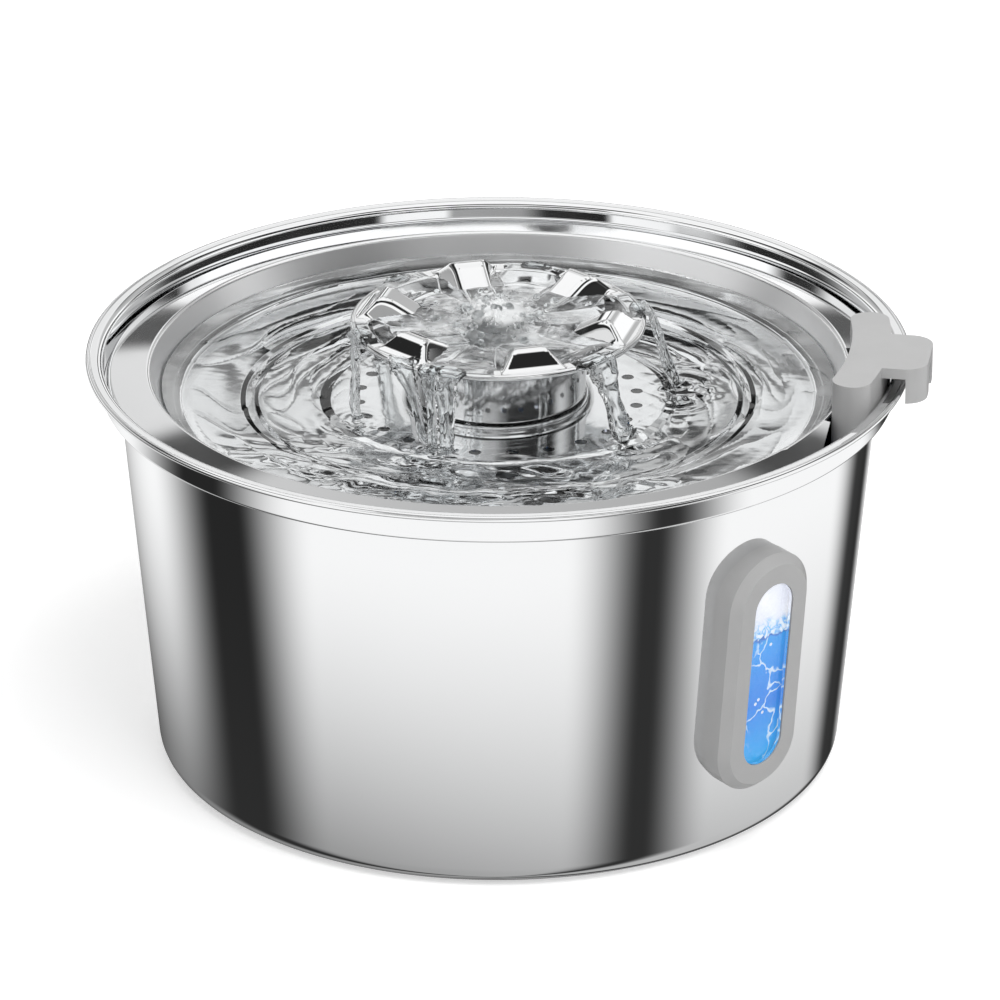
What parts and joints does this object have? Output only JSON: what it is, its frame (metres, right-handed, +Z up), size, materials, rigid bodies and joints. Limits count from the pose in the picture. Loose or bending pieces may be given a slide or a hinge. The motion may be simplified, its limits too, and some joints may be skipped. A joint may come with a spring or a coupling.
{
  "type": "pet water fountain",
  "caption": "Round polished-steel pet water fountain with a drop-in drinking tray, flower spout, level window, cable clip, filter case and submerged pump.",
  "frame": {"origin": "centre of the bowl's flat base", "axes": "+Z up; +X from the bowl's axis towards the cable clip; -Y towards the front, with the level window between -Y and +X"},
  "size_m": [0.2358, 0.23, 0.1324],
  "materials": {
    "bowl_steel": "mirror-polished stainless steel",
    "tray_steel": "mirror-polished stainless steel",
    "spout_steel": "mirror-polished stainless steel",
    "clip_plastic": "fine satin moulding",
    "frame_plastic": "fine satin moulding",
    "window_clear": "clear moulded lens",
    "seal_rubber": "matt silicone",
    "screw_steel": "plain screw",
    "inner_plastic": "white moulding",
    "riser_plastic": "translucent tube",
    "pump_plastic": "black moulding",
    "pump_rubber": "soft black rubber",
    "core_steel": "stacked laminations",
    "copper": "enamelled copper wire",
    "board_green": "solder-resist laminate",
    "potting_resin": "cast epoxy",
    "ceramic": "ground ceramic",
    "magnet": "moulded ferrite",
    "foam": "open-cell sponge",
    "lamp_clear": "clear moulded lens",
    "filter_white": "white moulding",
    "resin_beads": "amber bead bed",
    "carbon": "granule bed",
    "cotton": "non-woven pad"
  },
  "bodies": {
    "bowl": {"bowl": "bowl_steel", "window_frame": "frame_plastic", "window_gasket": "seal_rubber", "window_lens": "window_clear", "window_back_frame": "inner_plastic", "window_screws": "screw_steel"},
    "pump": {"pump_housing": "pump_plastic", "suction_cups": "pump_rubber", "stator_core": "core_steel", "coils": "copper", "circuit_board": "board_green", "potting": "potting_resin", "pump_shaft": "ceramic", "rear_bush": "pump_rubber", "cord_gland": "pump_rubber", "lamp_lens": "lamp_clear", "riser_tube": "riser_plastic", "riser_seal": "seal_rubber"},
    "rotor": {"impeller": "inner_plastic", "rotor_magnet": "magnet"},
    "volute": {"volute_cover": "pump_plastic", "front_bush": "pump_rubber"},
    "dial": {"flow_dial": "inner_plastic"},
    "foam": {"intake_foam": "foam"},
    "grille": {"intake_cover": "pump_plastic"},
    "filter": {"filter_case": "filter_white", "filter_resin": "resin_beads", "filter_carbon": "carbon", "filter_cotton": "cotton"},
    "lid": {"filter_lid": "filter_white"},
    "tray": {"tray": "tray_steel"},
    "spout": {"spout_flower": "spout_steel", "spout_neck": "spout_steel", "spout_seal": "seal_rubber", "spout_adapter": "inner_plastic"},
    "clip": {"cable_clip": "clip_plastic"}
  },
  "joints": [
    {"name": "pump_lift", "type": "slide", "parent": "bowl", "child": "pump", "axis": [0, 0, 1], "range_m": [0, 0.13]},
    {"name": "filter_lift", "type": "slide", "parent": "pump", "child": "filter", "axis": [0, 0, 1], "range_m": [0, 0.06]},
    {"name": "lid_lift", "type": "slide", "parent": "filter", "child": "lid", "axis": [0, 0, 1], "range_m": [0, 0.03]},
    {"name": "tray_lift", "type": "slide", "parent": "lid", "child": "tray", "axis": [0, 0, 1], "range_m": [0, 0.06]},
    {"name": "spout_lift", "type": "slide", "parent": "tray", "child": "spout", "axis": [0, 0, 1], "range_m": [0, 0.05]},
    {"name": "clip_lift", "type": "slide", "parent": "bowl", "child": "clip", "axis": [0, 0, 1], "range_m": [0, 0.03]},
    {"name": "impeller_spin", "type": "hinge", "parent": "pump", "child": "rotor", "pos_m": [0, 0, 0.024], "axis": [0, -1, 0], "continuous": true},
    {"name": "volute_pull", "type": "slide", "parent": "pump", "child": "volute", "axis": [0, -1, 0], "range_m": [0, 0.012]},
    {"name": "dial_turn", "type": "hinge", "parent": "volute", "child": "dial", "pos_m": [0, -0.0115, 0.024], "axis": [0, -1, 0], "range_deg": [0, 90]},
    {"name": "foam_pull", "type": "slide", "parent": "volute", "child": "foam", "axis": [0, -1, 0], "range_m": [0, 0.012]},
    {"name": "grille_pull", "type": "slide", "parent": "foam", "child": "grille", "axis": [0, -1, 0], "range_m": [0, 0.02]}
  ]
}
